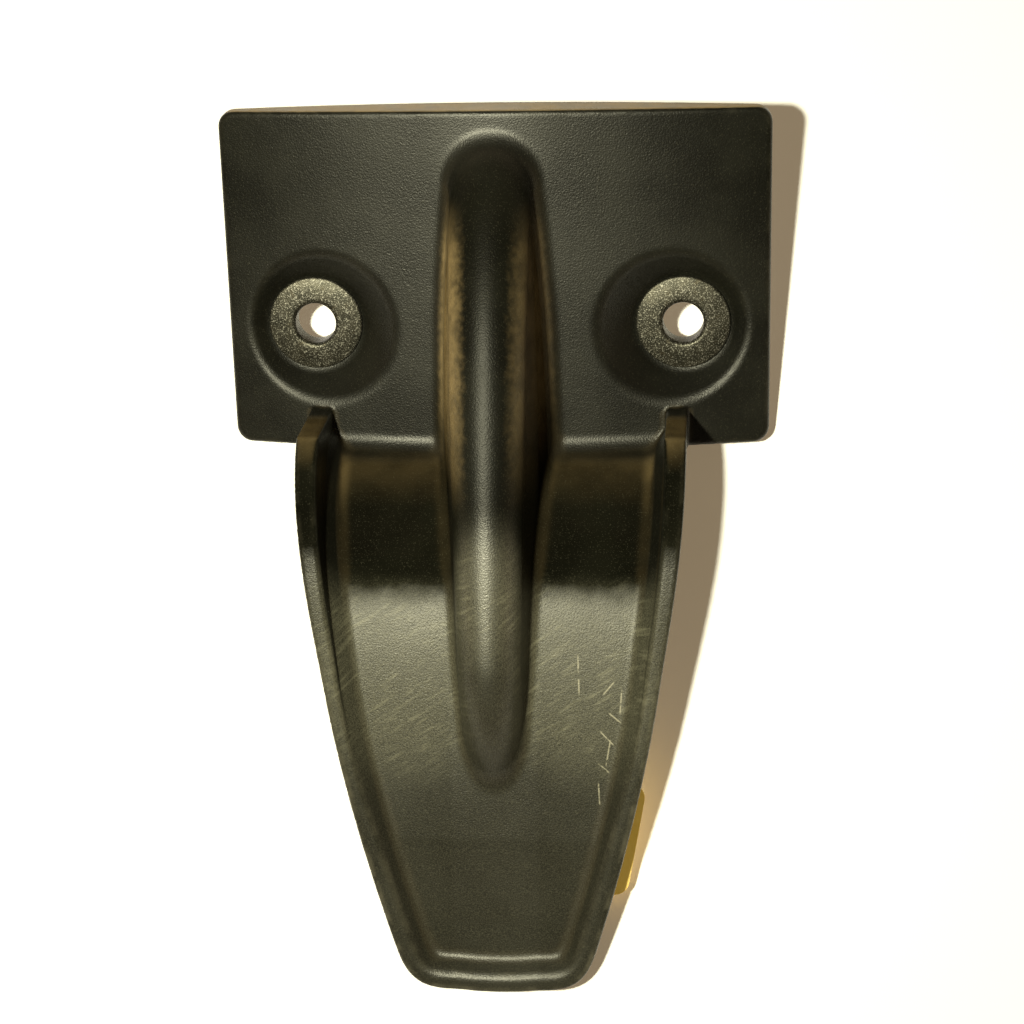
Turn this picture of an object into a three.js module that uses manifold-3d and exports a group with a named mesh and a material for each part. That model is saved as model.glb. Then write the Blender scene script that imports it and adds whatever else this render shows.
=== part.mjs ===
// Cleat horn: a wall-mounted rope horn for a boat, moulded in black plastic.
// Millimetres, +Z up, +X to the right as seen by a person facing the horn.
// The wall is the plane Y = 0 and the horn comes out towards -Y, so a "depth" below is -Y.
// The origin is the centre of the back face of the mounting plate.
import * as THREE from "three";
import { mergeVertices } from "three/addons/utils/BufferGeometryUtils.js";
import Module from "manifold-3d";

const wasm = await Module();
wasm.setup();

// Clear gap between pieces that touch.
const GAP = 0.3;
const CURVE_STEPS = 20;
const CUT_REACH = 60;

// Backing gasket, against the wall.
const GASKET_THICKNESS = 1.2;
const GASKET_SHRINK = 0.3;

// Mounting plate, with a front face crowned from left to right.
const PLATE_WIDTH = 88;
const PLATE_HEIGHT = 55;
const PLATE_CORNER = 3;
const PLATE_TOP_ARCH = 0.6;
const PLATE_BACK = GASKET_THICKNESS + GAP;
const PLATE_EDGE_DEPTH = 4.3;
const PLATE_CROWN = 4.9;
const PLATE_BOTTOM = -PLATE_HEIGHT / 2;

// Bolt seats: two countersunk recesses, each with a flanged metal bush.
const BOLT_SPACING = 60;
const BOLT_Z = -7.5;
const SEAT_FLOOR = 2.7;
const SEAT_RADIUS = 7.95;
const SEAT_WALL_HEIGHT = 6;
const BUSH_BORE = 3.3;
const BUSH_BARREL = 4.5;
const BUSH_FLANGE = 7.65;
const BUSH_FLANGE_THICKNESS = 0.8;
const BUSH_DOME = 0.15;
const BUSH_DOME_TOP = BUSH_BORE + 1;
const BUSH_THROAT = 0.2;
const BUSH_RIM_CHAMFER = 0.3;
const BUSH_RIM_LAND = 0.6;
const BUSH_END = 0.2;
const BUSH_STEPS = 48;

// Tongue, seen from the front: half widths and heights of its outline.
const TONGUE_TOP_Z = -20.8;
const TONGUE_TOP_HALF = 30.8;
const SHOULDER_Z = -60;
const SHOULDER_HALF = 26.6;
const SHOULDER_TAPER = 0.15;
const SHOULDER_TOP_PULL = 16;
const SHOULDER_LOW_PULL = 12;
const WAIST_Z = -80;
const TIP_TAPER = 0.3;
const TIP_Z = -111.8;
const TIP_CORNER = 7;
const TIP_ARCH = 0.4;
const FLANGE_THICKNESS = 3.8;
const RIM_TOP_WIDTH = 2.8;
const RIM_SLOPE_WIDTH = 2;
const RIM_SLOPE_START = 31.2;
const RIM_SLOPE_HEIGHT = 3.4;

// Tongue, seen from the side: each curve runs from the plate to the tip as [depth, z].
const SHELL = 3.2;
const FLOOR_START = [7, PLATE_BOTTOM];
const FLOOR_KNEE = [[25, PLATE_BOTTOM], [29.7, -56]];
const FLOOR_BEND_END = [32.9, -86];
const FLOOR_TIP = [34.4, -114];
const BACK_START = [PLATE_BACK, PLATE_BOTTOM - SHELL];
const BACK_KNEE = [[23, PLATE_BOTTOM - SHELL], [27.9, -54]];
const BACK_BEND_END = [29.4, -80];
const BACK_TIP = [FLOOR_TIP[0] - SHELL, FLOOR_TIP[1]];
const RIM_START = [22.5, TONGUE_TOP_Z];
const RIM_KNEE = [[30.5, -27], [33, -42]];
const RIM_BEND_END = [35.6, -80];
const RIM_TIP = [37.6, FLOOR_TIP[1]];

// Buttress rib: a drafted fin with a round top that narrows downwards, hollow from the back.
const RIB_RADIUS = 6;
const RIB_WALL = 3;
const RIB_DRAFT = Math.tan(THREE.MathUtils.degToRad(11));
const RIB_AXIS_START = [3, 19.4];
const RIB_AXIS_KNEE = [[19, 16.4], [29, -24]];
const RIB_AXIS_END = [32.9, -54];
const RIB_NOSE_KNEE = [[33.6, -60], [31.5, -66.5]];
const RIB_NOSE_END = [26, -74];
const RIB_AXIS_FOOT = -4;
const RIB_TOP_WIDENING = 1.1;
const RIB_NARROWING_PER_MM = 0.0032;
const RIB_CORE = 0.02;
const RIB_ROUND_STEPS = 8;

// Blank stock label on the back of the tongue, reaching past its right edge.
const LABEL_WIDTH = 24;
const LABEL_HEIGHT = 20;
const LABEL_CORNER = 2.5;
const LABEL_THICKNESS = 0.3;
const LABEL_X = 11;
const LABEL_Z = -85.8;
const LABEL_LEAN = THREE.MathUtils.degToRad(10);

function material(color, roughness, metalness) {
  return new THREE.MeshStandardMaterial({ color, roughness, metalness });
}

const blackPlastic = material(0x23231f, 0.55, 0);
const darkRubber = material(0x3a352b, 0.9, 0);
const blastedMetal = material(0x8a867c, 0.45, 0.8);
const yellowPaper = material(0xd9b24a, 0.7, 0);

// A closed geometry as a solid that can be joined and cut.
function solid(geometry) {
  geometry.deleteAttribute("normal");
  geometry.deleteAttribute("uv");
  const merged = mergeVertices(geometry, 1e-4);
  return new wasm.Manifold(new wasm.Mesh({
    numProp: 3,
    vertProperties: new Float32Array(merged.attributes.position.array),
    triVerts: new Uint32Array(merged.index.array),
  }));
}

function meshOf(name, body, look) {
  const result = body.getMesh();
  const geometry = new THREE.BufferGeometry();
  geometry.setAttribute("position", new THREE.BufferAttribute(result.vertProperties, 3));
  geometry.setIndex(new THREE.BufferAttribute(result.triVerts, 1));
  geometry.computeVertexNormals();
  const mesh = new THREE.Mesh(geometry, look);
  mesh.name = name;
  return mesh;
}

// A side-view shape of (depth, z), extruded to both sides of the middle plane.
function extrudeAcross(shape, width, options = {}) {
  const geometry = new THREE.ExtrudeGeometry(shape, { depth: width, bevelEnabled: false, ...options });
  geometry.applyMatrix4(new THREE.Matrix4().set(
    0, 0, -1, width / 2,
    -1, 0, 0, 0,
    0, 1, 0, 0,
    0, 0, 0, 1,
  ));
  return geometry;
}

// A front-view shape of (x, z), extruded outwards between two depths.
function extrudeOut(shape, fromDepth, toDepth, options = {}) {
  const settings = { depth: toDepth - fromDepth, bevelEnabled: false, ...options };
  const geometry = new THREE.ExtrudeGeometry(shape, settings);
  geometry.applyMatrix4(new THREE.Matrix4().set(
    1, 0, 0, 0,
    0, 0, -1, -fromDepth,
    0, 1, 0, 0,
    0, 0, 0, 1,
  ));
  return geometry;
}

// A round piece about a bolt's axis, from a profile of [radius, depth] pairs.
function turnAboutBolt(profile, side) {
  const points = profile.map(([radius, depth]) => new THREE.Vector2(radius, depth));
  const geometry = new THREE.LatheGeometry(points, BUSH_STEPS);
  geometry.rotateX(Math.PI);
  geometry.translate(side * BOLT_SPACING / 2, 0, BOLT_Z);
  return geometry;
}

function roundedPlateShape(shrink) {
  const half = PLATE_WIDTH / 2 - shrink;
  const bottom = PLATE_BOTTOM + shrink;
  const top = -bottom;
  const radius = PLATE_CORNER;
  const shape = new THREE.Shape();
  shape.moveTo(-half + radius, bottom);
  shape.lineTo(half - radius, bottom);
  shape.quadraticCurveTo(half, bottom, half, bottom + radius);
  shape.lineTo(half, top - radius);
  shape.quadraticCurveTo(half, top, half - radius, top);
  shape.quadraticCurveTo(0, top + 2 * PLATE_TOP_ARCH, -half + radius, top);
  shape.quadraticCurveTo(-half, top, -half, top - radius);
  shape.lineTo(-half, bottom + radius);
  shape.quadraticCurveTo(-half, bottom, -half + radius, bottom);
  return shape;
}

// The plate's level section: flat back and arched front.
function crownShape() {
  const half = PLATE_WIDTH / 2;
  const front = PLATE_EDGE_DEPTH;
  const shape = new THREE.Shape();
  shape.moveTo(half, -PLATE_BACK);
  shape.lineTo(-half, -PLATE_BACK);
  shape.lineTo(-half, -front);
  shape.quadraticCurveTo(0, -front - 2 * PLATE_CROWN, half, -front);
  shape.closePath();
  return shape;
}

function plateSolid() {
  const crown = new THREE.ExtrudeGeometry(crownShape(), {
    depth: PLATE_HEIGHT + 2 * PLATE_TOP_ARCH,
    curveSegments: CURVE_STEPS,
    bevelEnabled: false,
  });
  crown.translate(0, 0, PLATE_BOTTOM);
  const outline = extrudeOut(roundedPlateShape(0), 0, CUT_REACH, { curveSegments: 8 });
  return solid(crown).intersect(solid(outline));
}

// The recess for one bush and the hole for its barrel.
function seatCut(side) {
  const wall = SEAT_WALL_HEIGHT;
  const recess = [
    [0, SEAT_FLOOR],
    [SEAT_RADIUS, SEAT_FLOOR],
    [SEAT_RADIUS + wall, SEAT_FLOOR + wall],
    [0, SEAT_FLOOR + wall],
  ];
  const hole = [[0, -1], [BUSH_BARREL + GAP, -1], [BUSH_BARREL + GAP, SEAT_FLOOR + 1], [0, SEAT_FLOOR + 1]];
  return solid(turnAboutBolt(recess, side)).add(solid(turnAboutBolt(hole, side)));
}

// The tongue's outline from the front, drawn inwards by an inset.
function tongueShape(inset, top) {
  const waistHalf = SHOULDER_HALF - inset - SHOULDER_TAPER * (SHOULDER_Z - WAIST_Z);
  const tip = TIP_Z + inset;
  const tipHalf = waistHalf - TIP_TAPER * (WAIST_Z - tip);
  const corner = TIP_CORNER - inset / 2;
  const side = new THREE.Path();
  side.moveTo(TONGUE_TOP_HALF - inset, top);
  side.lineTo(TONGUE_TOP_HALF - inset, TONGUE_TOP_Z);
  side.bezierCurveTo(
    TONGUE_TOP_HALF - inset, TONGUE_TOP_Z - SHOULDER_TOP_PULL,
    SHOULDER_HALF - inset + SHOULDER_TAPER * SHOULDER_LOW_PULL, SHOULDER_Z + SHOULDER_LOW_PULL,
    SHOULDER_HALF - inset, SHOULDER_Z,
  );
  side.quadraticCurveTo(waistHalf, WAIST_Z, tipHalf + TIP_TAPER * corner, tip + corner);
  side.quadraticCurveTo(tipHalf, tip + TIP_ARCH, tipHalf - corner, tip + TIP_ARCH);
  side.quadraticCurveTo((tipHalf - corner) / 2, tip, 0, tip);
  const right = side.getPoints(CURVE_STEPS / 2);
  const left = right.slice(0, -1).reverse().map((point) => new THREE.Vector2(-point.x, point.y));
  return new THREE.Shape([...right, ...left]);
}

// One of the tongue's side-view curves: a bend, then a straight run to the tip.
function curvePoints(start, knee, bendEnd, tip) {
  const path = new THREE.Path();
  path.moveTo(...start);
  path.bezierCurveTo(...knee[0], ...knee[1], ...bendEnd);
  path.lineTo(...tip);
  return path.getPoints(CURVE_STEPS);
}

const floorCurve = () => curvePoints(FLOOR_START, FLOOR_KNEE, FLOOR_BEND_END, FLOOR_TIP);
const backCurve = () => curvePoints(BACK_START, BACK_KNEE, BACK_BEND_END, BACK_TIP);
const rimCurve = () => curvePoints(RIM_START, RIM_KNEE, RIM_BEND_END, RIM_TIP);

function sideShape(points) {
  const corners = points.map((point) => (Array.isArray(point) ? new THREE.Vector2(...point) : point));
  return new THREE.Shape(corners);
}

// Tongue with its shelf, side flanges and raised rim.
function tongueSolid() {
  const outer = sideShape([[PLATE_BACK, TONGUE_TOP_Z], ...backCurve(), ...rimCurve().reverse()]);
  const body = solid(extrudeAcross(outer, PLATE_WIDTH));
  const outline = solid(extrudeOut(tongueShape(0, TONGUE_TOP_Z + 1), 0, CUT_REACH));
  return body.intersect(outline).subtract(channelCut());
}

// The open space in front of the tongue's floor, between the flanges and inside the rim.
function channelCut() {
  const far = [[CUT_REACH, FLOOR_TIP[1]], [CUT_REACH, 0]];
  const above = sideShape([[FLOOR_START[0], 0], ...floorCurve(), ...far]);
  const space = solid(extrudeAcross(above, PLATE_WIDTH));
  const straight = tongueShape(FLANGE_THICKNESS, 0);
  const sloped = tongueShape(RIM_TOP_WIDTH + RIM_SLOPE_WIDTH, 0);
  const slopes = {
    bevelEnabled: true,
    bevelSegments: 1,
    bevelThickness: RIM_SLOPE_HEIGHT,
    bevelSize: RIM_SLOPE_WIDTH,
  };
  const upper = solid(extrudeOut(sloped, RIM_SLOPE_START + RIM_SLOPE_HEIGHT, CUT_REACH, slopes));
  const lower = solid(extrudeOut(straight, 0, CUT_REACH));
  return upper.add(lower).intersect(space);
}

// A fin about the rib's axis curve, as wide at its crest as twice the radius.
function ribFin(radius) {
  const path = new THREE.Path();
  path.moveTo(...RIB_AXIS_START);
  path.bezierCurveTo(...RIB_AXIS_KNEE[0], ...RIB_AXIS_KNEE[1], ...RIB_AXIS_END);
  path.bezierCurveTo(...RIB_NOSE_KNEE[0], ...RIB_NOSE_KNEE[1], ...RIB_NOSE_END);
  const axis = path.getPoints(CURVE_STEPS);
  const foot = [[RIB_AXIS_FOOT, RIB_NOSE_END[1]], [RIB_AXIS_FOOT, RIB_AXIS_START[1]]];
  const geometry = extrudeAcross(sideShape([...axis, ...foot]), RIB_CORE, {
    bevelEnabled: true,
    bevelSegments: RIB_ROUND_STEPS,
    bevelThickness: radius,
    bevelSize: radius,
  });
  return draftSides(geometry, axis, radius);
}

// Spreads the fin's flanks outwards towards the wall, and narrows the fin downwards.
function draftSides(geometry, axis, radius) {
  const position = geometry.attributes.position;
  for (let i = 0; i < position.count; i += 1) {
    const z = position.getZ(i);
    const drop = axisDepth(axis, z) + position.getY(i);
    const share = position.getX(i) / radius;
    const widening = RIB_TOP_WIDENING - RIB_NARROWING_PER_MM * (RIB_AXIS_START[1] - z);
    position.setX(i, position.getX(i) * widening + RIB_DRAFT * Math.max(drop, 0) * share);
  }
  return solid(geometry);
}

// Depth of the rib's axis curve at a height.
function axisDepth(axis, z) {
  const index = axis.findIndex((point) => point.y <= z);
  if (index <= 0) {
    return index === 0 ? axis[0].x : axis[axis.length - 1].x;
  }
  const above = axis[index - 1];
  const below = axis[index];
  const share = (above.y - z) / (above.y - below.y);
  return THREE.MathUtils.lerp(above.x, below.x, share);
}

// The space in front of the moulding's back face and of the tongue's back.
function frontOfBack() {
  const shape = sideShape([
    [PLATE_BACK, -PLATE_BOTTOM],
    ...backCurve(),
    [CUT_REACH, BACK_TIP[1]],
    [CUT_REACH, -PLATE_BOTTOM],
  ]);
  return solid(extrudeAcross(shape, PLATE_WIDTH));
}

function hornMoulding() {
  const rib = ribFin(RIB_RADIUS).intersect(frontOfBack());
  const body = plateSolid().add(tongueSolid()).add(rib);
  const hollow = ribFin(RIB_RADIUS - RIB_WALL);
  const cuts = [hollow, seatCut(-1), seatCut(1)];
  return meshOf("horn_moulding", cuts.reduce((rest, cut) => rest.subtract(cut), body), blackPlastic);
}

function baseGasket() {
  const sheet = roundedPlateShape(GASKET_SHRINK);
  for (const side of [-1, 1]) {
    const hole = new THREE.Path();
    hole.absarc(side * BOLT_SPACING / 2, BOLT_Z, BUSH_BARREL + GAP, 0, 2 * Math.PI, true);
    sheet.holes.push(hole);
  }
  return meshOf("base_gasket", solid(extrudeOut(sheet, 0, GASKET_THICKNESS)), darkRubber);
}

// A flanged bush: a barrel through the plate, and a slightly domed ring under the bolt's head.
function seatBush(name, side) {
  const under = SEAT_FLOOR + GAP;
  const face = under + BUSH_FLANGE_THICKNESS;
  const profile = [
    [BUSH_BORE, BUSH_END],
    [BUSH_BARREL, BUSH_END],
    [BUSH_BARREL, under],
    [BUSH_FLANGE, under],
    [BUSH_FLANGE, face - BUSH_RIM_CHAMFER],
    [BUSH_FLANGE - BUSH_RIM_LAND, face],
    [BUSH_DOME_TOP, face + BUSH_DOME],
    [BUSH_BORE, face - BUSH_THROAT],
    [BUSH_BORE, BUSH_END],
  ];
  return meshOf(name, solid(turnAboutBolt(profile, side)), blastedMetal);
}

// The label lies on the tongue's back and its long side follows the tongue's right edge.
function stockLabel() {
  const half = LABEL_WIDTH / 2 - LABEL_CORNER;
  const tall = LABEL_HEIGHT / 2 - LABEL_CORNER;
  const shape = new THREE.Shape();
  shape.absarc(half, tall, LABEL_CORNER, 0, Math.PI / 2);
  shape.absarc(-half, tall, LABEL_CORNER, Math.PI / 2, Math.PI);
  shape.absarc(-half, -tall, LABEL_CORNER, Math.PI, 1.5 * Math.PI);
  shape.absarc(half, -tall, LABEL_CORNER, 1.5 * Math.PI, 2 * Math.PI);
  const sheet = solid(extrudeOut(shape, -LABEL_THICKNESS, 0, { curveSegments: 5 }));
  const mesh = meshOf("stock_label", sheet, yellowPaper);
  const slope = (BACK_TIP[0] - BACK_BEND_END[0]) / (BACK_BEND_END[1] - BACK_TIP[1]);
  const backDepth = BACK_BEND_END[0] + slope * (BACK_BEND_END[1] - LABEL_Z);
  mesh.rotation.set(-Math.atan(slope), LABEL_LEAN, 0);
  mesh.position.set(LABEL_X, -backDepth + GAP, LABEL_Z);
  return mesh;
}

const horn = new THREE.Group();
horn.name = "cleat_horn";
horn.add(baseGasket());
horn.add(hornMoulding());
horn.add(seatBush("left_seat_bush", -1));
horn.add(seatBush("right_seat_bush", 1));
horn.add(stockLabel());

export default horn;
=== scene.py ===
"""The looks of a cleat horn: a black moulded rope horn with metal bolt seats, a gasket and a blank label.

The moulding is a smooth solid worked out from a distance field, in millimetres, with x to the right,
z up and "depth" as the distance out from the wall (depth = -y). Everything else is in metres.
"""

import math

import bpy
import numpy as np
from mathutils import Matrix, Vector


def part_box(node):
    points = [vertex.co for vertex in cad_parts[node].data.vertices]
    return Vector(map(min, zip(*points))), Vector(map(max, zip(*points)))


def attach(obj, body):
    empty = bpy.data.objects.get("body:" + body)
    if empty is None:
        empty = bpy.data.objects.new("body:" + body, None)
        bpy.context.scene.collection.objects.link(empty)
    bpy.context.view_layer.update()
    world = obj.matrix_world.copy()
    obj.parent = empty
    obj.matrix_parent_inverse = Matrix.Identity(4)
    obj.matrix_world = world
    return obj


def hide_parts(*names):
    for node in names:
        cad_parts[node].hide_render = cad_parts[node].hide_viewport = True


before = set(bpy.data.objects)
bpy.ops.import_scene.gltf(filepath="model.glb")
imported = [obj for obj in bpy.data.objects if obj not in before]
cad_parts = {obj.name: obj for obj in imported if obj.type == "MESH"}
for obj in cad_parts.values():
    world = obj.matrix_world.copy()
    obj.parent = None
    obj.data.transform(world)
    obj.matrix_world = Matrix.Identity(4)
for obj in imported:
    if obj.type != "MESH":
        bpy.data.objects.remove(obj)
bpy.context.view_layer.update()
MM = 0.001

# Sizes read from the fixed frame, in millimetres.
MOULD_LOW, MOULD_HIGH = (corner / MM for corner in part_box("horn_moulding"))
GASKET_LOW, GASKET_HIGH = (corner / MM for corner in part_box("base_gasket"))
SEATS = {name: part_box(name) for name in ("left_seat_bush", "right_seat_bush")}

# Plate.
PLATE_HALF = MOULD_HIGH.x
PLATE_HALF_HEIGHT = 27.5
PLATE_ARCH = MOULD_HIGH.z - PLATE_HALF_HEIGHT
PLATE_CORNER = 2.6
PLATE_BACK = -MOULD_HIGH.y
PLATE_EDGE = 4.3
PLATE_CROWN = 4.9
PLATE_ROUNDING = 0.7

# Bolt seats.
SEAT_FLOOR = 2.7
SEAT_RADIUS = 7.9
SEAT_HOLE = 4.8
SEAT_ROUNDING = 0.8

# Bushes in the seats.
BUSH_BORE = 3.3
BUSH_BARREL = 4.5
BUSH_BARREL_LENGTH = 2.8
BUSH_CHAMFER = 0.2
BUSH_LIP = 0.3
BUSH_LIP_DROP = 0.62
BUSH_THROAT = 0.7
BUSH_DOME = 0.3
BUSH_DOME_SPAN = 3.2
BUSH_STEPS = 128

# Tongue: side-view curves as (depth, z), then its outline from the front as (x, z).
SHELL = 3.2
TIP_Z = MOULD_LOW.z
FLANGE_TOP = -20.8
FLOOR = ((7, -27.5), (25, -27.5), (29.7, -56), (32.9, -86))
FLOOR_TIP = (34.4, -114)
BACK_START = (PLATE_BACK, 60)
BACK = ((PLATE_BACK, -30.7), (23, -30.7), (27.9, -54), (29.4, -80))
BACK_TIP = (31.2, -114)
RIM_START = (8, FLANGE_TOP)
RIM = ((22.5, FLANGE_TOP), (30.5, -27), (33, -42), (35.6, -80))
RIM_TIP = (37.4, -114)
SIDE_START = (30.8, 10)
SIDE = ((30.8, FLANGE_TOP), (30.8, -36.8), (28.4, -48), (26.6, -60))
WAIST = ((26.6, -60), (24.6, -73.5), (20.7, -90), (16.2, -104.8))
TIP_CORNER = ((16.2, -104.8), (14.4, -110.4), (11.6, -111.4), (7.0, -111.4))
TIP_ARCH = ((3.5, TIP_Z + 0.1), (0, TIP_Z))
FLANGE_WIDTH = 3.6
RIM_WIDTH = 2.5
RIM_WIDTH_FROM = -60
RIM_SLOPE = 2.2
RIM_HEIGHT = 3.3
RIM_ROUNDING = 0.5
CHANNEL_ROUNDING = 0.9

# Rib: a drafted fin with a round top about an axis curve, hollow from behind.
RIB_AXIS = ((3, 19.4), (19, 16.4), (29, -24), (32.9, -54))
RIB_NOSE = ((32.9, -54), (33.6, -60), (31.5, -66.5), (26, -74))
RIB_AXIS_BURIED = (-4, -74)
RIB_RADIUS = 6.0
RIB_CREST = 39.6
RIB_TOP_WIDENING = 1.1
RIB_NARROWING = 0.0032
RIB_WALL = 3.0
RIB_DRAFT = math.radians(11)
RIB_FILLET = 1.8
SHELF_FILLET = 2.7
FLANGE_FILLET = 0.4
BACK_ROUNDING = 0.8
HOLLOW_ROUNDING = 1.0

# Gasket's rounded edge, and the label on the tongue's back.
GASKET_EDGE = 0.15
LABEL_HALF_WIDTH = 12
LABEL_HALF_HEIGHT = 10
LABEL_CORNER = 2.5
LABEL_THICKNESS = 0.24
LABEL_EDGE = 0.05
LABEL_LEAN = math.radians(10)

# Camera: where it stands about the horn, its distance and its lens.
AIM = Vector((3.0, -20.8, -34.0)) * MM
AZIMUTH = math.radians(5.1)
ELEVATION = math.radians(19.5)
CAMERA_ROLL = math.radians(-1.45)
DISTANCE = 0.3905
SENSOR = 36
LENS = 86.1

# The table under the horn, which lies on its plate's lower back edge and on its tip, and the light.
TABLE_SIZE = 0.6
TABLE_GAP = 0.0002
FLASH_OFFSET = 0.101
FLASH_SIZE = 0.02
FLASH_POWER = 2.9
FLASH_COLOR = (1.0, 0.96, 0.68)
ROOM_COLOR = (1.0, 0.76, 0.46, 1)
ROOM_LOW = 0.4
ROOM_HIGH = 0.04
ROOM_FADE = 0.6
BACKDROP = 0.9
TABLE_GLOW = 0.2

# Painted glow on the label's thin yellow paper, standing in for light through it.
LABEL_PAINTED_GLOW = 0.2


# ---------------------------------------------------------------- distance fields

def bezier(points, count=60):
    """Points along a cubic curve."""
    t = np.linspace(0, 1, count)[:, None]
    a, b, c, d = (np.array(p, float) for p in points)
    return (1 - t) ** 3 * a + 3 * t * (1 - t) ** 2 * b + 3 * t * t * (1 - t) * c + t ** 3 * d


def joined(*parts):
    """One polyline from several, without the doubled points between them."""
    line = np.vstack([np.atleast_2d(np.array(p, float)) for p in parts])
    step = np.linalg.norm(np.diff(line, axis=0), axis=1)
    return line[np.r_[True, step > 1e-6]]


def side_of(line, u, v):
    """Signed distance of the grid points (u, v) from a polyline, positive on its left."""
    best = np.full(np.broadcast(u, v).shape, 1e9)
    signed = best.copy()
    for start, end in zip(line[:-1], line[1:]):
        along = end - start
        length = np.hypot(*along)
        along = along / length
        du, dv = u - start[0], v - start[1]
        t = np.clip(du * along[0] + dv * along[1], 0, length)
        away = np.hypot(du - t * along[0], dv - t * along[1])
        left = along[0] * dv - along[1] * du
        nearer = away < best
        signed = np.where(nearer, np.where(left >= 0, away, -away), signed)
        best = np.where(nearer, away, best)
    return signed.astype(np.float32)


def blend_union(a, b, size):
    """Joins two solids with a fillet of this radius."""
    corner = np.hypot(np.maximum(size - a, 0), np.maximum(size - b, 0))
    return np.maximum(size, np.minimum(a, b)) - corner


def blend_common(a, b, size):
    """What two solids share, with a rounded edge."""
    return -blend_union(-a, -b, size)


def plate_field(x, depth, z):
    """The crowned plate, open towards the wall."""
    arch = np.where(z > 0, PLATE_ARCH * (1 - (x / PLATE_HALF) ** 2), 0)
    qx = np.abs(x) - (PLATE_HALF - PLATE_CORNER)
    qz = np.abs(z) - (PLATE_HALF_HEIGHT - PLATE_CORNER) - arch
    beyond = np.hypot(np.maximum(qx, 0), np.maximum(qz, 0))
    outline = beyond + np.minimum(np.maximum(qx, qz), 0) - PLATE_CORNER
    crown = depth - PLATE_EDGE - PLATE_CROWN * (1 - (x / PLATE_HALF) ** 2)
    return blend_common(outline, crown, PLATE_ROUNDING)


def tongue_field(x, depth, z):
    """The tongue with its shelf, flanges and raised rim, open towards the wall."""
    side = joined(SIDE_START, bezier(SIDE), bezier(WAIST), bezier(TIP_CORNER), *TIP_ARCH)
    outline = side_of(side, np.abs(x), z)
    rim_line = joined(RIM_START, bezier(RIM), RIM_TIP)
    rim = blend_common(side_of(rim_line, depth, z), z - FLANGE_TOP, RIM_ROUNDING)
    body = blend_common(outline, rim, RIM_ROUNDING)
    height = side_of(joined(bezier(FLOOR), FLOOR_TIP), depth, z)
    width = np.interp(-z, (-FLANGE_TOP, -RIM_WIDTH_FROM), (FLANGE_WIDTH, RIM_WIDTH))
    inset = width + RIM_SLOPE * (1 - np.clip(height / RIM_HEIGHT, 0, 1))
    channel = blend_common(-height, outline + inset, CHANNEL_ROUNDING)
    floor = np.maximum(height, outline + SHELL)
    return blend_common(body, -channel, CHANNEL_ROUNDING), floor


def rib_field(x, depth, z, radius):
    """A fin of this radius about the rib's axis curve, spreading towards the wall."""
    axis = joined(bezier(RIB_AXIS, 90), bezier(RIB_NOSE, 30), RIB_AXIS_BURIED)
    ahead = side_of(axis, depth, z)
    behind = np.maximum(-ahead, 0)
    widening = RIB_TOP_WIDENING - RIB_NARROWING * (RIB_AXIS[0][1] - z)
    reach = np.hypot(x / widening, np.maximum(ahead, 0))
    return (reach - radius - math.tan(RIB_DRAFT) * behind) * math.cos(RIB_DRAFT)


def seat_field(x, depth, z):
    """The recess of each bolt seat and the hole through it."""
    cut = None
    for low, high in SEATS.values():
        centre = (low + high) / 2 / MM
        radius = np.hypot(x - centre.x, z - centre.z)
        cone = (radius - SEAT_RADIUS - (depth - SEAT_FLOOR)) * math.sqrt(0.5)
        recess = blend_common(cone, SEAT_FLOOR - depth, SEAT_ROUNDING)
        seat = np.minimum(recess, radius - SEAT_HOLE)
        cut = seat if cut is None else np.minimum(cut, seat)
    return cut


def moulding_field(x, depth, z):
    """The whole moulding: negative inside, positive outside."""
    plate = blend_common(plate_field(x, depth, z), -seat_field(x, depth, z), SEAT_ROUNDING)
    tongue, floor = tongue_field(x, depth, z)
    body = blend_union(plate, floor, SHELF_FILLET)
    body = blend_union(body, rib_field(x, depth, z, RIB_RADIUS), RIB_FILLET)
    body = blend_union(body, tongue, FLANGE_FILLET)
    back_line = joined(BACK_START, bezier(BACK), BACK_TIP)
    body = blend_common(body, -side_of(back_line, depth, z), BACK_ROUNDING)
    return blend_common(body, -rib_field(x, depth, z, RIB_RADIUS - RIB_WALL), HOLLOW_ROUNDING)


# ---------------------------------------------------------------- meshes

GRID = 0.42
GRID_MARGIN = 2.5
BEND_REACH = 1.2
NUDGE = 0.02
LEAST_STEEPNESS = 0.25

CORNERS = np.array([(i, j, k) for i in (0, 1) for j in (0, 1) for k in (0, 1)])
EDGES = [(a, b) for a in range(8) for b in range(a + 1, 8) if np.abs(CORNERS[a] - CORNERS[b]).sum() == 1]


def surface_net(field):
    """Vertices, in grid steps, and quads of the surface where the field is zero."""
    size = np.array(field.shape) - 1
    at_corner = [field[i:i + size[0], j:j + size[1], k:k + size[2]] for i, j, k in CORNERS]
    inside = sum((values < 0).astype(np.int8) for values in at_corner)
    cells = np.argwhere((inside > 0) & (inside < 8))
    value = np.stack([values[tuple(cells.T)] for values in at_corner], axis=1)
    total = np.zeros(cells.shape)
    count = np.zeros(len(cells))
    for a, b in EDGES:
        crossed = (value[:, a] < 0) != (value[:, b] < 0)
        share = value[crossed, a] / (value[crossed, a] - value[crossed, b])
        total[crossed] += CORNERS[a] + share[:, None] * (CORNERS[b] - CORNERS[a])
        count[crossed] += 1
    number = np.full(size, -1)
    number[tuple(cells.T)] = np.arange(len(cells))
    quads = [quads_across(field, number, axis) for axis in range(3)]
    return cells + total / count[:, None], np.vstack(quads)


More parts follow.
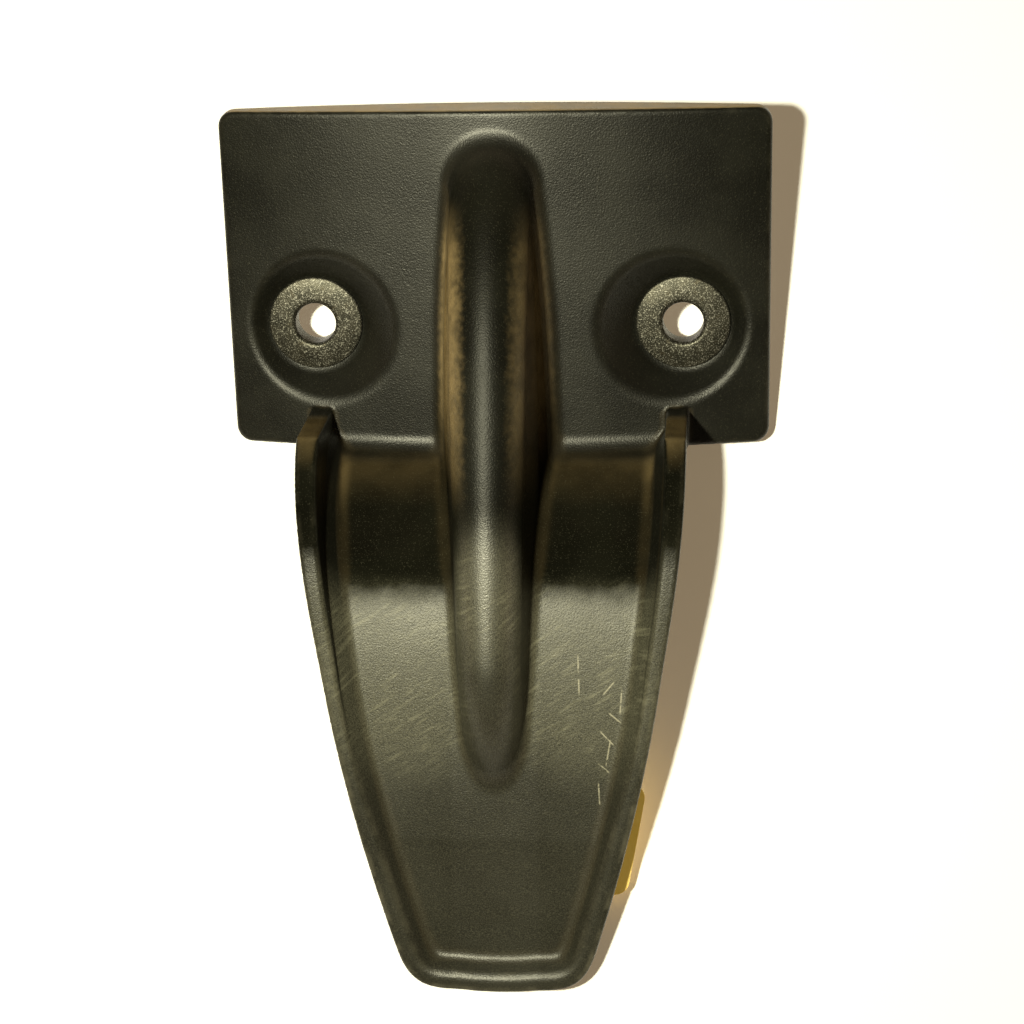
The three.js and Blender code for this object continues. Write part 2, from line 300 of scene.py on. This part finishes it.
def quads_across(field, number, axis):
    """One quad around every grid edge along an axis that the surface crosses."""
    field = np.moveaxis(field, axis, 0)
    number = np.moveaxis(number, axis, 0)
    low = field[:-1, 1:-1, 1:-1]
    high = field[1:, 1:-1, 1:-1]
    i, j, k = np.argwhere((low < 0) != (high < 0)).T
    ring = [number[i, j, k], number[i, j + 1, k], number[i, j + 1, k + 1], number[i, j, k + 1]]
    quads = np.stack(ring, axis=1)
    outward = low[i, j, k] < 0
    if axis == 1:
        outward = ~outward
    quads[~outward] = quads[~outward][:, ::-1]
    return quads


def mesh_object(name, vertices, faces):
    mesh = bpy.data.meshes.new(name)
    mesh.from_pydata(vertices, [], faces)
    mesh.validate()
    mesh.polygons.foreach_set("use_smooth", [True] * len(mesh.polygons))
    piece = bpy.data.objects.new(name, mesh)
    bpy.context.scene.collection.objects.link(piece)
    return piece


def value_at(field, cells):
    """The field between its grid points."""
    whole = np.clip(np.floor(cells).astype(int), 0, np.array(field.shape) - 2)
    part = cells - whole
    total = np.zeros(len(cells))
    for corner in CORNERS:
        weight = np.prod(np.where(corner, part, 1 - part), axis=1)
        total += weight * field[tuple((whole + corner).T)]
    return total


def bend_at(field, cells, reach):
    """How sharply the surface bends at each vertex: positive in hollows, negative on edges."""
    shifts = [sign * reach * row for row in np.eye(3) for sign in (-1, 1)]
    around = sum(value_at(field, cells + shift) for shift in shifts)
    return value_at(field, cells) * 6 - around


def settled(points, reach):
    """Vertices moved onto the true surface, where the grid has cut its corners."""
    for _ in range(2):
        value = moulding_field(*points.T)
        ahead = [moulding_field(*(points + NUDGE * axis).T) for axis in np.eye(3)]
        slope = np.stack([(there - value) / NUDGE for there in ahead], axis=1)
        steepness = np.maximum((slope ** 2).sum(axis=1), LEAST_STEEPNESS)
        points = points - np.clip((value / steepness)[:, None] * slope, -reach, reach)
    return points


def moulding():
    """The moulding's mesh, with its surface bend kept for wear, dust and painted edge highlights."""
    step = GRID
    low = np.array((-PLATE_HALF, PLATE_BACK, TIP_Z)) - GRID_MARGIN * step
    high = np.array((PLATE_HALF, RIB_CREST, MOULD_HIGH.z)) + GRID_MARGIN * step
    axes = [np.arange(a, b, step, dtype=np.float32) for a, b in zip(low, high)]
    x, depth, z = axes[0][:, None, None], axes[1][None, :, None], axes[2][None, None, :]
    field = moulding_field(x, depth, z).astype(np.float32)
    cells, quads = surface_net(field)
    points = settled(low + cells * step, step / 2) * MM
    points[:, 1] *= -1
    piece = mesh_object("moulding", points, quads[:, ::-1])
    bend = bend_at(field, cells, BEND_REACH / step) / BEND_REACH ** 2
    attribute = piece.data.attributes.new("bend", "FLOAT", "POINT")
    attribute.data.foreach_set("value", bend.astype(np.float32))
    return piece


def arc(radius, centre, start, end, count):
    """Points along a round about a centre, between two angles."""
    across, out = centre
    angles = np.linspace(start, end, count)
    return [(across + radius * math.cos(a), out + radius * math.sin(a)) for a in angles]


def bush_profile(outer, end, face):
    """The bush's section as (radius, depth), from its rear end round to its throat."""
    under = end + BUSH_BARREL_LENGTH
    throat_edge = BUSH_BORE + BUSH_THROAT
    profile = [
        (BUSH_BORE, end),
        (BUSH_BARREL - BUSH_CHAMFER, end),
        (BUSH_BARREL, end + BUSH_CHAMFER),
        (BUSH_BARREL, under),
        (outer - BUSH_CHAMFER / 2, under),
        (outer, under + BUSH_CHAMFER / 2),
    ]
    profile += arc(BUSH_LIP, (outer - BUSH_LIP, face - BUSH_LIP_DROP), 0, 1.5, 6)
    for radius in np.linspace(outer - 2 * BUSH_LIP, throat_edge + BUSH_CHAMFER, 6):
        profile.append((radius, face - BUSH_DOME * ((radius - throat_edge) / BUSH_DOME_SPAN) ** 2))
    top = math.pi / 2
    profile += arc(BUSH_THROAT, (throat_edge, face - BUSH_THROAT), top + 0.1, top + 1.5, 8)
    return profile


def bush(name):
    """A flanged bush turned about its bolt's axis."""
    low, high = (corner / MM for corner in SEATS[name])
    centre = (low + high) / 2
    profile = bush_profile((high.x - low.x) / 2, -high.y, -low.y)
    turn = [2 * math.pi * i / BUSH_STEPS for i in range(BUSH_STEPS)]
    vertices = [
        Vector((centre.x + r * math.cos(a), -depth, centre.z + r * math.sin(a))) * MM
        for r, depth in profile for a in turn
    ]
    faces = []
    for ring in range(len(profile)):
        here = ring * BUSH_STEPS
        there = (ring + 1) % len(profile) * BUSH_STEPS
        for k in range(BUSH_STEPS):
            after = (k + 1) % BUSH_STEPS
            faces.append((here + k, here + after, there + after, there + k))
    piece = mesh_object(name + "_turned", vertices, faces)
    piece.data.set_sharp_from_angle(angle=math.radians(40))
    return piece


def rounded_outline(half_width, half_height, corner, arch=0.0):
    """Corners of a rounded rectangle as (x, y), with an arched top."""
    points = []
    for quarter, (sx, sy) in enumerate(((1, 1), (-1, 1), (-1, -1), (1, -1))):
        for angle in np.linspace(quarter, quarter + 1, 7) * math.pi / 2:
            x = sx * (half_width - corner) + corner * math.cos(angle)
            y = sy * (half_height - corner) + corner * math.sin(angle)
            points.append((x, y))
        if quarter == 0:
            for share in np.linspace(0.9, -0.9, 13):
                points.append((share * (half_width - corner), half_height + arch * (1 - share * share)))
    return points


def circle(centre_x, centre_y, radius, steps=48):
    turn = [2 * math.pi * i / steps for i in range(steps)]
    return [(centre_x + radius * math.cos(a), centre_y + radius * math.sin(a)) for a in turn]


def flat_sheet(name, outlines, thickness, edge):
    """A sheet in the x-y plane about z = 0, with rounded edges. Sizes in millimetres."""
    curve = bpy.data.curves.new(name, "CURVE")
    curve.dimensions = "2D"
    curve.fill_mode = "BOTH"
    curve.extrude = (thickness / 2 - edge) * MM
    curve.bevel_depth = edge * MM
    curve.bevel_resolution = 2
    curve.offset = -edge * MM
    for outline in outlines:
        spline = curve.splines.new("POLY")
        spline.points.add(len(outline) - 1)
        for point, (x, y) in zip(spline.points, outline):
            point.co = (x * MM, y * MM, 0, 1)
        spline.use_cyclic_u = True
    drawn = bpy.data.objects.new(name + "_outline", curve)
    mesh = bpy.data.meshes.new_from_object(drawn)
    bpy.data.objects.remove(drawn)
    mesh.polygons.foreach_set("use_smooth", [True] * len(mesh.polygons))
    mesh.set_sharp_from_angle(angle=math.radians(35))
    piece = bpy.data.objects.new(name, mesh)
    bpy.context.scene.collection.objects.link(piece)
    return piece


def gasket():
    """The gasket has the plate's outline, a little smaller, and clears both seats."""
    half = GASKET_HIGH.x
    tall = PLATE_HALF_HEIGHT - (PLATE_HALF - half)
    outlines = [rounded_outline(half, tall, PLATE_CORNER, PLATE_ARCH)]
    for low, high in SEATS.values():
        centre = (low + high) / 2 / MM
        outlines.append(circle(centre.x, centre.z, SEAT_HOLE))
    thickness = GASKET_HIGH.y - GASKET_LOW.y
    piece = flat_sheet("gasket", outlines, thickness, GASKET_EDGE)
    piece.data.transform(Matrix.Rotation(math.pi / 2, 4, "X"))
    piece.data.transform(Matrix.Translation((0, -thickness / 2 * MM, 0)))
    return piece


def label():
    """The label lies on the tongue's back, leaning with its right edge."""
    low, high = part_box("stock_label")
    centre = (low + high) / 2
    outline = rounded_outline(LABEL_HALF_WIDTH, LABEL_HALF_HEIGHT, LABEL_CORNER)
    piece = flat_sheet("label", [outline], LABEL_THICKNESS, LABEL_EDGE)
    piece.data.transform(Matrix.Rotation(math.pi / 2, 4, "X"))
    slope = math.atan2(BACK_TIP[0] - BACK[3][0], BACK[3][1] - BACK_TIP[1])
    lean = Matrix.Rotation(LABEL_LEAN, 4, "Y")
    piece.data.transform(Matrix.Translation(centre) @ Matrix.Rotation(-slope, 4, "X") @ lean)
    return piece


# ---------------------------------------------------------------- materials

class Look:
    """A node material about one Principled shader. Positions inside it are in millimetres."""

    def __init__(self, name):
        self.material = bpy.data.materials.new(name)
        self.material.use_nodes = True
        self.nodes = self.material.node_tree.nodes
        self.links = self.material.node_tree.links
        self.shader = self.nodes["Principled BSDF"]
        where = self.nodes.new("ShaderNodeTexCoord").outputs["Object"]
        self.place = self.vector("SCALE", where, scale=1000)

    def put(self, socket, value):
        if isinstance(value, bpy.types.NodeSocket):
            self.links.new(value, socket)
        else:
            socket.default_value = value

    def vector(self, operation, a, b=None, scale=None):
        node = self.nodes.new("ShaderNodeVectorMath")
        node.operation = operation
        self.put(node.inputs[0], a)
        if b is not None:
            self.put(node.inputs[1], b)
        if scale is not None:
            self.put(node.inputs["Scale"], scale)
        return node.outputs["Value"] if operation in ("LENGTH", "DOT_PRODUCT") else node.outputs[0]

    def math(self, operation, a, b=0.0, clamp=False):
        node = self.nodes.new("ShaderNodeMath")
        node.operation = operation
        node.use_clamp = clamp
        self.put(node.inputs[0], a)
        self.put(node.inputs[1], b)
        return node.outputs[0]

    def range(self, value, start, end, low=0.0, high=1.0):
        """Value mapped smoothly from start..end to low..high."""
        node = self.nodes.new("ShaderNodeMapRange")
        node.interpolation_type = "SMOOTHSTEP"
        for socket, number in zip(node.inputs, (value, start, end, low, high)):
            self.put(socket, number)
        return node.outputs[0]

    def noise(self, scale, detail=2.0, place=None, distortion=0.0):
        node = self.nodes.new("ShaderNodeTexNoise")
        self.put(node.inputs["Vector"], place or self.place)
        node.inputs["Scale"].default_value = scale
        node.inputs["Detail"].default_value = detail
        node.inputs["Distortion"].default_value = distortion
        return node.outputs["Fac"]

    def mix(self, share, a, b):
        node = self.nodes.new("ShaderNodeMix")
        node.data_type = "RGBA"
        self.put(node.inputs["Factor"], share)
        self.put(node.inputs["A"], a if not isinstance(a, tuple) else (*a, 1))
        self.put(node.inputs["B"], b if not isinstance(b, tuple) else (*b, 1))
        return node.outputs["Result"]

    def attribute(self, name):
        node = self.nodes.new("ShaderNodeAttribute")
        node.attribute_name = name
        return node.outputs["Fac"]

    def axis(self, name):
        node = self.nodes.new("ShaderNodeSeparateXYZ")
        self.links.new(self.place, node.inputs[0])
        return node.outputs[name]

    def facing(self, name):
        """How far the surface faces along an axis, from -1 to 1."""
        node = self.nodes.new("ShaderNodeSeparateXYZ")
        self.links.new(self.nodes.new("ShaderNodeTexCoord").outputs["Normal"], node.inputs[0])
        return node.outputs[name]

    def bump(self, height, strength, distance, under=None):
        node = self.nodes.new("ShaderNodeBump")
        node.inputs["Strength"].default_value = strength
        node.inputs["Distance"].default_value = distance * MM
        self.put(node.inputs["Height"], height)
        if under is not None:
            self.put(node.inputs["Normal"], under)
        return node.outputs["Normal"]

    def spot(self, centre, radius, soft):
        """1 inside a ball about a point, falling to 0 over a soft edge."""
        away = self.vector("LENGTH", self.vector("SUBTRACT", self.place, centre))
        return self.range(away, radius, radius + soft, 1.0, 0.0)

    def slanted(self, angle, along, across):
        """Front-view coordinates turned by an angle, and scaled along and across it."""
        run = Vector((math.cos(angle), 0, math.sin(angle)))
        side = Vector((-run.z, 0, run.x))
        node = self.nodes.new("ShaderNodeCombineXYZ")
        self.put(node.inputs["X"], self.vector("DOT_PRODUCT", self.place, tuple(run * along)))
        self.put(node.inputs["Y"], self.vector("DOT_PRODUCT", self.place, tuple(side * across)))
        return node.outputs[0]

    def stroke(self, start, end, width):
        """1 along a straight scratch between two (x, z) points, seen from the front."""
        start, end = Vector((start[0], 0, start[1])), Vector((end[0], 0, end[1]))
        along = (end - start).normalized()
        across = Vector((-along.z, 0, along.x))
        middle = (start + end) / 2
        offset = self.vector("SUBTRACT", self.place, tuple(middle))
        sideways = self.math("ABSOLUTE", self.vector("DOT_PRODUCT", offset, tuple(across)))
        lengthwise = self.math("ABSOLUTE", self.vector("DOT_PRODUCT", offset, tuple(along)))
        thin = self.range(sideways, width * 0.3, width, 1.0, 0.0)
        reach = (end - start).length / 2
        return self.math("MULTIPLY", thin, self.range(lengthwise, reach * 0.7, reach, 1.0, 0.0))

    def product(self, *values):
        total = values[0]
        for value in values[1:]:
            total = self.math("MULTIPLY", total, value)
        return total

    def sum(self, values):
        total = values[0]
        for value in values[1:]:
            total = self.math("ADD", total, value, clamp=True)
        return total

    def finish(self, color, roughness, normal=None):
        self.put(self.shader.inputs["Base Color"], color)
        self.put(self.shader.inputs["Roughness"], roughness)
        if normal is not None:
            self.put(self.shader.inputs["Normal"], normal)
        return self.material


# Colours of the moulding and of what lies on it.
PLASTIC_DARK = (0.0035, 0.0035, 0.0024)
PLASTIC_LIGHT = (0.006, 0.006, 0.004)
PLASTIC_SPECK = (0.045, 0.043, 0.031)
# Brown dust colour, also used as painted light on the flank that faces the flash and as a painted
# reflection on steep faces.
DUST_AND_SHEEN = (0.27, 0.195, 0.095)
# Pale edge colour: partly rope wear, partly a painted highlight along the rim.
RUBBED_EDGE_AND_SHEEN = (0.17, 0.155, 0.115)
# Haze colour: partly rope wear, partly a painted highlight on the tongue's bend.
ROPE_HAZE_AND_SHEEN = (0.075, 0.072, 0.052)
# Scuff colour, which also paints the highlight on the rib's crest.
SCUFF_AND_SHEEN = (0.12, 0.116, 0.084)
SCRATCH = (0.26, 0.245, 0.19)

# Scratches near the right rim and on the tongue, as pairs of (x, z) ends.
SCRATCHES = (
    ((19.5, -59.5), (17.5, -61.8)),
    ((20.6, -60.5), (20.3, -65.0)),
    ((18.4, -64.5), (20.8, -66.5)),
    ((17.0, -67.5), (19.4, -70.0)),
    ((18.8, -68.8), (18.0, -73.5)),
    ((16.4, -72.5), (18.6, -74.5)),
    ((16.8, -76.0), (17.0, -80.0)),
    ((13.6, -55.0), (13.8, -62.0)),
)
SCRATCH_WIDTH = 0.17

# Scuffed places, as (centre, radius), with streaks that slant up to the right; the first, on the rib's
# crest, is mostly a painted highlight.
SCUFF_AND_SHEEN_SPOTS = (
    ((0, -38, -43), 2),
    ((-17, -30, -50), 6),
    ((-15, -31, -62), 6),
    ((15, -30, -50), 6),
    ((15, -31, -62), 6),
)
SCUFF_FADE = 12
SCUFF_SLANT = math.radians(32)

# The rope rubs below a line that lies higher where the surface stands out further; the painted highlight of
# the haze and the scuffs lies below it too.
ROPE_LINE = -44.5
ROPE_LINE_FADE = 12.5
ROPE_LINE_DEPTH = 31
ROPE_LINE_SLOPE = 1.6
RIB_POLISH = (0, -38.5, -42)
PLATE_POLISH = (0, -9, 22)


class MouldingLook(Look):
    """The moulding's material, with the places and directions its dust, wear and painted light go by."""

    def __init__(self, name):
        super().__init__(name)
        self.z = self.axis("Z")
        self.out = self.math("MULTIPLY", self.axis("Y"), -1)
        self.across = self.math("ABSOLUTE", self.axis("X"))
        self.up = self.facing("Z")
        self.aside = self.math("ABSOLUTE", self.facing("X"))
        self.front = self.range(self.facing("Y"), 0, -0.3)
        self.bend = self.attribute("bend")
        self.cloud = self.noise(0.09, 4)
        self.fine = self.noise(5.0, 2)
        self.grit = self.noise(3.6, 3)


def dust_and_sheen_on(look):
    """Dust, with painted light: thick on the rib's flanks and the plate's top edge, thin on the shelf, the
    flanges and in hollows; heavier on the flank that faces the flash, and on steep faces partly a painted
    reflection of the pale table.
    """
    near_rib = look.range(look.across, 11, 15, 1, 0)
    proud = look.range(look.out, 8, 10.5)
    # Sideways-facing faces near the rib: partly dust, partly a painted reflection of the pale table.
    patchy = look.math("ADD", look.aside, look.range(look.noise(0.9, 5), 0.3, 0.7, -0.05, 0.05))
    height = look.product(look.range(look.z, -32, -12), look.range(look.z, 16, 5))
    # Painted light: the flank that faces the flash gets more of the brown.
    flash_side_more = look.range(look.facing("X"), -0.2, 0.2, 1, 0.4)
    flank = look.product(look.range(patchy, 0.45, 1), near_rib, proud, height, flash_side_more)
    # The plate's top edge: partly dust, partly a painted reflection of the pale table.
    ledge = look.product(look.range(look.up, 0.75, 0.97), look.range(look.z, 26.2, 27.2))
    band = look.product(look.range(look.z, -24, -27), look.range(look.z, -45, -38))
    shelf = look.product(look.range(look.up, 0.6, 1), band, look.range(look.out, 9.5, 13, 0, 0.16))
    tops = look.product(look.range(look.up, 0.5, 0.8), look.range(look.z, -40, -28))
    flange = look.product(tops, look.range(look.out, 10, 13), look.range(look.across, 23, 26, 0, 0.3))
    hollow = look.range(look.bend, 0.2, 0.7, 0, 0.05)
    drift = look.range(look.noise(0.22, 5), 0.3, 0.65, 0.5, 0.85)
    return look.product(look.sum([flank, ledge, shelf, flange, hollow]), drift)


def worn_edges_and_sheen(look):
    """The rope polishes the tongue's rim, lighter on its front edges as wear and as a painted highlight;
    the flanges and the plate keep their edges.
    """
    edge = look.range(look.bend, -0.3, -1)
    low = look.range(look.z, -46, -60, 0.05, 0.32)
    front = look.range(look.facing("Y"), 0.2, 0)
    return look.product(edge, low, front, look.range(look.noise(0.35, 4), 0.35, 0.7))


def rope_zone(look):
    """1 where the rope rubs and the painted highlight goes, which starts higher on the rib's crest than on
    the floor beside it.
    """
    proud = look.math("MULTIPLY", look.math("SUBTRACT", look.out, ROPE_LINE_DEPTH), ROPE_LINE_SLOPE)
    line = look.math("SUBTRACT", look.z, proud)
    line = look.math("ADD", line, look.range(look.noise(0.25, 4), 0.3, 0.7, -0.6, 0.6))
    return look.range(line, ROPE_LINE, ROPE_LINE + ROPE_LINE_FADE, 1, 0)


def rope_haze_and_sheen(look, zone, base):
    """A haze of fine marks all over the tongue's front, partly rope wear and partly a painted highlight on
    the bend.
    """
    marks = look.range(look.fine, 0.35, 0.65, 0.1, 0.34)
    share = look.product(zone, look.front, look.range(look.out, 22, 26), marks)
    return look.mix(share, base, ROPE_HAZE_AND_SHEEN)


def scuffs_and_sheen(look, zone, base):
    """Slanting pale streaks where the rope rubs most, and a painted highlight on the rib's crest."""
    rubbed_and_lit = look.sum([look.spot(centre, radius, SCUFF_FADE) for centre, radius in SCUFF_AND_SHEEN_SPOTS])
    fibres = look.noise(1.0, 6, place=look.slanted(SCUFF_SLANT, 0.22, 1.5))
    streaks = look.product(look.range(fibres, 0.45, 0.75), look.range(look.noise(0.2, 3), 0.38, 0.62))
    marks = look.range(look.fine, 0.35, 0.65, 0.15, 0.5)
    haze = look.math("ADD", look.math("MULTIPLY", streaks, 0.7), marks)
    share = look.math("MULTIPLY", look.product(rubbed_and_lit, look.front, zone), haze, clamp=True)
    return look.mix(share, base, SCUFF_AND_SHEEN)


def scratches(look, base):
    """Thin broken scratches on the tongue's front."""
    lines = look.sum([look.stroke(start, end, SCRATCH_WIDTH) for start, end in SCRATCHES])
    broken = look.range(look.noise(0.9, 3), 0.36, 0.5)
    share = look.product(lines, broken, look.front, look.range(look.out, 27, 29))
    return look.mix(share, base, SCRATCH)


def grime_on(look, zone, on_rib):
    """Grime sits on the shelf and the upper crest, where the rope doesn't reach."""
    grime = look.product(look.range(zone, 0, 1, 1.05, 0), look.range(on_rib, 0, 1, 1, 0.74))
    grime = look.math("ADD", grime, look.range(look.z, -20, 8, 0, 0.25))
    outer_side = look.product(look.range(look.aside, 0.5, 0.9), look.range(look.across, 13, 18))
    return look.product(grime, look.range(look.out, 11, 14), look.range(outer_side, 0, 1, 1, 0))


def gloss_of(look, zone):
    """The specular level: dull under grime, higher where the crest and the plate's top are polished."""
    on_rib = look.range(look.across, 6, 8, 1, 0)
    plate = look.range(look.across, 14, 44, 0.44, 0.28)
    plate = look.math("SUBTRACT", plate, look.range(look.z, -2, 20, 0, 0.12))
    gloss = look.range(look.out, 9, 12, plate, look.range(on_rib, 0, 1, 0.43, 0.55))
    gloss = look.math("SUBTRACT", gloss, look.math("MULTIPLY", grime_on(look, zone, on_rib), 0.45))
    gloss = look.math("ADD", gloss, look.math("MULTIPLY", look.spot(RIB_POLISH, 4, 10), 0.6))
    return look.math("ADD", gloss, look.math("MULTIPLY", look.spot(PLATE_POLISH, 2, 10), 0.2))


def black_plastic():
    """Spark-eroded black plastic with brown dust, rubbed edges, scuffs and scratches, with painted
    highlights and reflections among them.
    """
    look = MouldingLook("black_plastic_worn")
    base = look.mix(look.range(look.cloud, 0.35, 0.65), PLASTIC_DARK, PLASTIC_LIGHT)
    base = look.mix(look.range(look.fine, 0.58, 0.74, 0, 0.5), base, PLASTIC_SPECK)
    # Dust, with painted light on the flash side and painted reflections on steep faces.
    dust_and_painted_light = dust_and_sheen_on(look)
    base = look.mix(dust_and_painted_light, base, DUST_AND_SHEEN)
    # Worn rim edges with a painted highlight.
    base = look.mix(worn_edges_and_sheen(look), base, RUBBED_EDGE_AND_SHEEN)
    zone = rope_zone(look)
    # Rope wear with a painted highlight on the tongue's bend.
    base = rope_haze_and_sheen(look, zone, base)
    # Scuffs, and the painted highlight on the rib's crest.
    base = scuffs_and_sheen(look, zone, base)
    base = scratches(look, base)
    look.put(look.shader.inputs["Specular IOR Level"], gloss_of(look, zone))
    roughness = look.range(look.cloud, 0.3, 0.7, 0.38, 0.44)
    roughness = look.math("ADD", roughness, look.math("MULTIPLY", dust_and_painted_light, 0.35), clamp=True)
    normal = look.bump(look.grit, 0.6, 0.08)
    normal = look.bump(look.fine, 0.6, 0.04, normal)
    normal = look.bump(look.noise(0.12, 2), 0.07, 0.4, normal)
    return look.finish(base, roughness, normal)


def seat_metal():
    """Blasted, dull grey metal with darker dirty patches."""
    look = Look("seat_metal_blasted")
    look.shader.inputs["Metallic"].default_value = 0.75
    cloud = look.noise(0.5, 4)
    grit = look.noise(5.0, 3)
    base = look.mix(look.range(cloud, 0.35, 0.65), (0.025, 0.024, 0.018), (0.045, 0.042, 0.032))
    base = look.mix(look.range(grit, 0.52, 0.7), base, (0.27, 0.26, 0.23))
    base = look.mix(look.range(look.noise(0.9, 5), 0.6, 0.75, 0, 0.7), base, (0.05, 0.042, 0.027))
    roughness = look.range(grit, 0.3, 0.7, 0.34, 0.5)
    return look.finish(base, roughness, look.bump(grit, 0.6, 0.06))


def gasket_rubber():
    """Dusty dark rubber."""
    look = Look("gasket_rubber_soiled")
    cloud = look.noise(0.15, 5)
    grit = look.noise(1.8, 4)
    base = look.mix(look.range(cloud, 0.35, 0.65), (0.022, 0.020, 0.016), (0.05, 0.042, 0.03))
    base = look.mix(look.range(grit, 0.6, 0.75, 0, 0.5), base, (0.12, 0.09, 0.055))
    roughness = look.range(cloud, 0.3, 0.7, 0.7, 0.9)
    normal = look.bump(grit, 0.4, 0.12)
    return look.finish(base, roughness, look.bump(look.noise(0.3, 3), 0.2, 0.3, normal))


def label_paper():
    """Faded yellow paper with a painted glow from its emission."""
    look = Look("label_paper_yellow")
    fade = look.noise(0.12, 4)
    fibre = look.noise(3.0, 4)
    base = look.mix(look.range(fade, 0.3, 0.7), (0.78, 0.50, 0.11), (0.84, 0.65, 0.27))
    base = look.mix(look.range(fibre, 0.6, 0.8, 0, 0.35), base, (0.45, 0.30, 0.10))
    # Painted glow: the paper's emission lights it up in the horn's shade.
    look.shader.inputs["Emission Color"].default_value = (0.90, 0.56, 0.08, 1)
    look.shader.inputs["Emission Strength"].default_value = LABEL_PAINTED_GLOW
    return look.finish(base, look.range(fibre, 0.3, 0.7, 0.5, 0.7), look.bump(fibre, 0.25, 0.05))


def dress(piece, material, node):
    """Gives a fine piece its material, and lets it stand for a CAD node."""
    for owner in (piece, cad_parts[node]):
        owner.data.materials.clear()
        owner.data.materials.append(material)
    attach(piece, "root")
    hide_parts(node)


# ---------------------------------------------------------------- stage

def table_normal():
    """Out of the table's top: it runs from the plate's lower back edge to the tip's back."""
    run = Vector((0, -BACK_TIP[0], TIP_Z + PLATE_HALF_HEIGHT))
    return run.cross(Vector((1, 0, 0))).normalized()


def table():
    """A plain pale table top, seen only from above, so that it hides nothing from behind."""
    up = table_normal()
    half = TABLE_SIZE / 2
    corners = [(-half, -half, 0), (half, -half, 0), (half, half, 0), (-half, half, 0)]
    piece = mesh_object("table_top", corners, [(0, 1, 2, 3)])
    turn = up.to_track_quat("Z", "Y").to_matrix().to_4x4()
    contact = Vector((0, 0, -PLATE_HALF_HEIGHT * MM)) - up * TABLE_GAP
    piece.matrix_world = Matrix.Translation(contact) @ turn
    material = bpy.data.materials.new("table_white")
    material.use_nodes = True
    nodes, links = material.node_tree.nodes, material.node_tree.links
    shader = nodes["Principled BSDF"]
    shader.inputs["Base Color"].default_value = (0.84, 0.85, 0.92, 1)
    shader.inputs["Roughness"].default_value = 0.8
    shader.inputs["Emission Color"].default_value = ROOM_COLOR
    shader.inputs["Emission Strength"].default_value = TABLE_GLOW
    clear = nodes.new("ShaderNodeBsdfTransparent")
    sides = nodes.new("ShaderNodeMixShader")
    links.new(nodes.new("ShaderNodeNewGeometry").outputs["Backfacing"], sides.inputs[0])
    links.new(shader.outputs[0], sides.inputs[1])
    links.new(clear.outputs[0], sides.inputs[2])
    links.new(sides.outputs[0], nodes["Material Output"].inputs[0])
    piece.data.materials.append(material)
    piece.visible_shadow = False


def camera_place():
    """The camera's position and its turn, from where it stands about the horn."""
    towards = Vector((
        math.sin(AZIMUTH) * math.cos(ELEVATION),
        -math.cos(AZIMUTH) * math.cos(ELEVATION),
        math.sin(ELEVATION),
    ))
    turn = towards.to_track_quat("Z", "Y") @ Matrix.Rotation(CAMERA_ROLL, 3, "Z").to_quaternion()
    return AIM + towards * DISTANCE, turn


def camera():
    position, turn = camera_place()
    data = bpy.data.cameras.new("camera")
    data.sensor_width = SENSOR
    data.lens = LENS
    data.clip_start = 0.01
    eye = bpy.data.objects.new("camera", data)
    eye.location = position
    eye.rotation_mode = "QUATERNION"
    eye.rotation_quaternion = turn
    bpy.context.scene.collection.objects.link(eye)
    bpy.context.scene.camera = eye


def area_light(name, place, aim, size, power, color):
    data = bpy.data.lights.new(name, "AREA")
    data.shape = "DISK"
    data.size = size
    data.energy = power
    data.color = color
    lamp = bpy.data.objects.new(name, data)
    lamp.location = place
    lamp.rotation_mode = "QUATERNION"
    lamp.rotation_quaternion = (place - aim).to_track_quat("Z", "Y")
    bpy.context.scene.collection.objects.link(lamp)
    return lamp


def lights():
    """A small flash beside the camera, warm room light, and soft light on the back."""
    position, turn = camera_place()
    flash = position + turn @ Vector((-FLASH_OFFSET, 0, 0))
    area_light("flash", flash, AIM, FLASH_SIZE, FLASH_POWER, FLASH_COLOR)
    area_light("behind", Vector((-0.5, 0.9, 0.5)), AIM, 0.6, 5, (1.0, 0.95, 0.88))
    area_light("below", Vector((0.3, 0.5, -0.8)), AIM, 0.5, 2, (1.0, 0.92, 0.82))


def room():
    """A warm room that is bright low over the table and dark high above it."""
    world = bpy.data.worlds.new("room")
    world.use_nodes = True
    nodes, links = world.node_tree.nodes, world.node_tree.links
    where = nodes.new("ShaderNodeTexCoord")
    height = nodes.new("ShaderNodeVectorMath")
    height.operation = "DOT_PRODUCT"
    links.new(where.outputs["Generated"], height.inputs[0])
    height.inputs[1].default_value = table_normal()
    fall = nodes.new("ShaderNodeMapRange")
    fall.interpolation_type = "SMOOTHSTEP"
    links.new(height.outputs["Value"], fall.inputs["Value"])
    falloff = {"From Min": 0.0, "From Max": ROOM_FADE, "To Min": ROOM_LOW, "To Max": ROOM_HIGH}
    for name, value in falloff.items():
        fall.inputs[name].default_value = value
    sky = nodes["Background"]
    sky.inputs["Color"].default_value = ROOM_COLOR
    links.new(fall.outputs[0], sky.inputs["Strength"])
    seen = nodes.new("ShaderNodeBackground")
    seen.inputs["Color"].default_value = (1, 1, 1, 1)
    seen.inputs["Strength"].default_value = BACKDROP
    by_eye = nodes.new("ShaderNodeMixShader")
    links.new(nodes.new("ShaderNodeLightPath").outputs["Is Camera Ray"], by_eye.inputs[0])
    links.new(sky.outputs[0], by_eye.inputs[1])
    links.new(seen.outputs[0], by_eye.inputs[2])
    links.new(by_eye.outputs[0], nodes["World Output"].inputs[0])
    bpy.context.scene.world = world


dress(moulding(), black_plastic(), "horn_moulding")
dress(gasket(), gasket_rubber(), "base_gasket")
metal = seat_metal()
for seat_name in SEATS:
    dress(bush(seat_name), metal, seat_name)
dress(label(), label_paper(), "stock_label")
table()
camera()
lights()
room()
bpy.context.scene.view_settings.view_transform = "Standard"
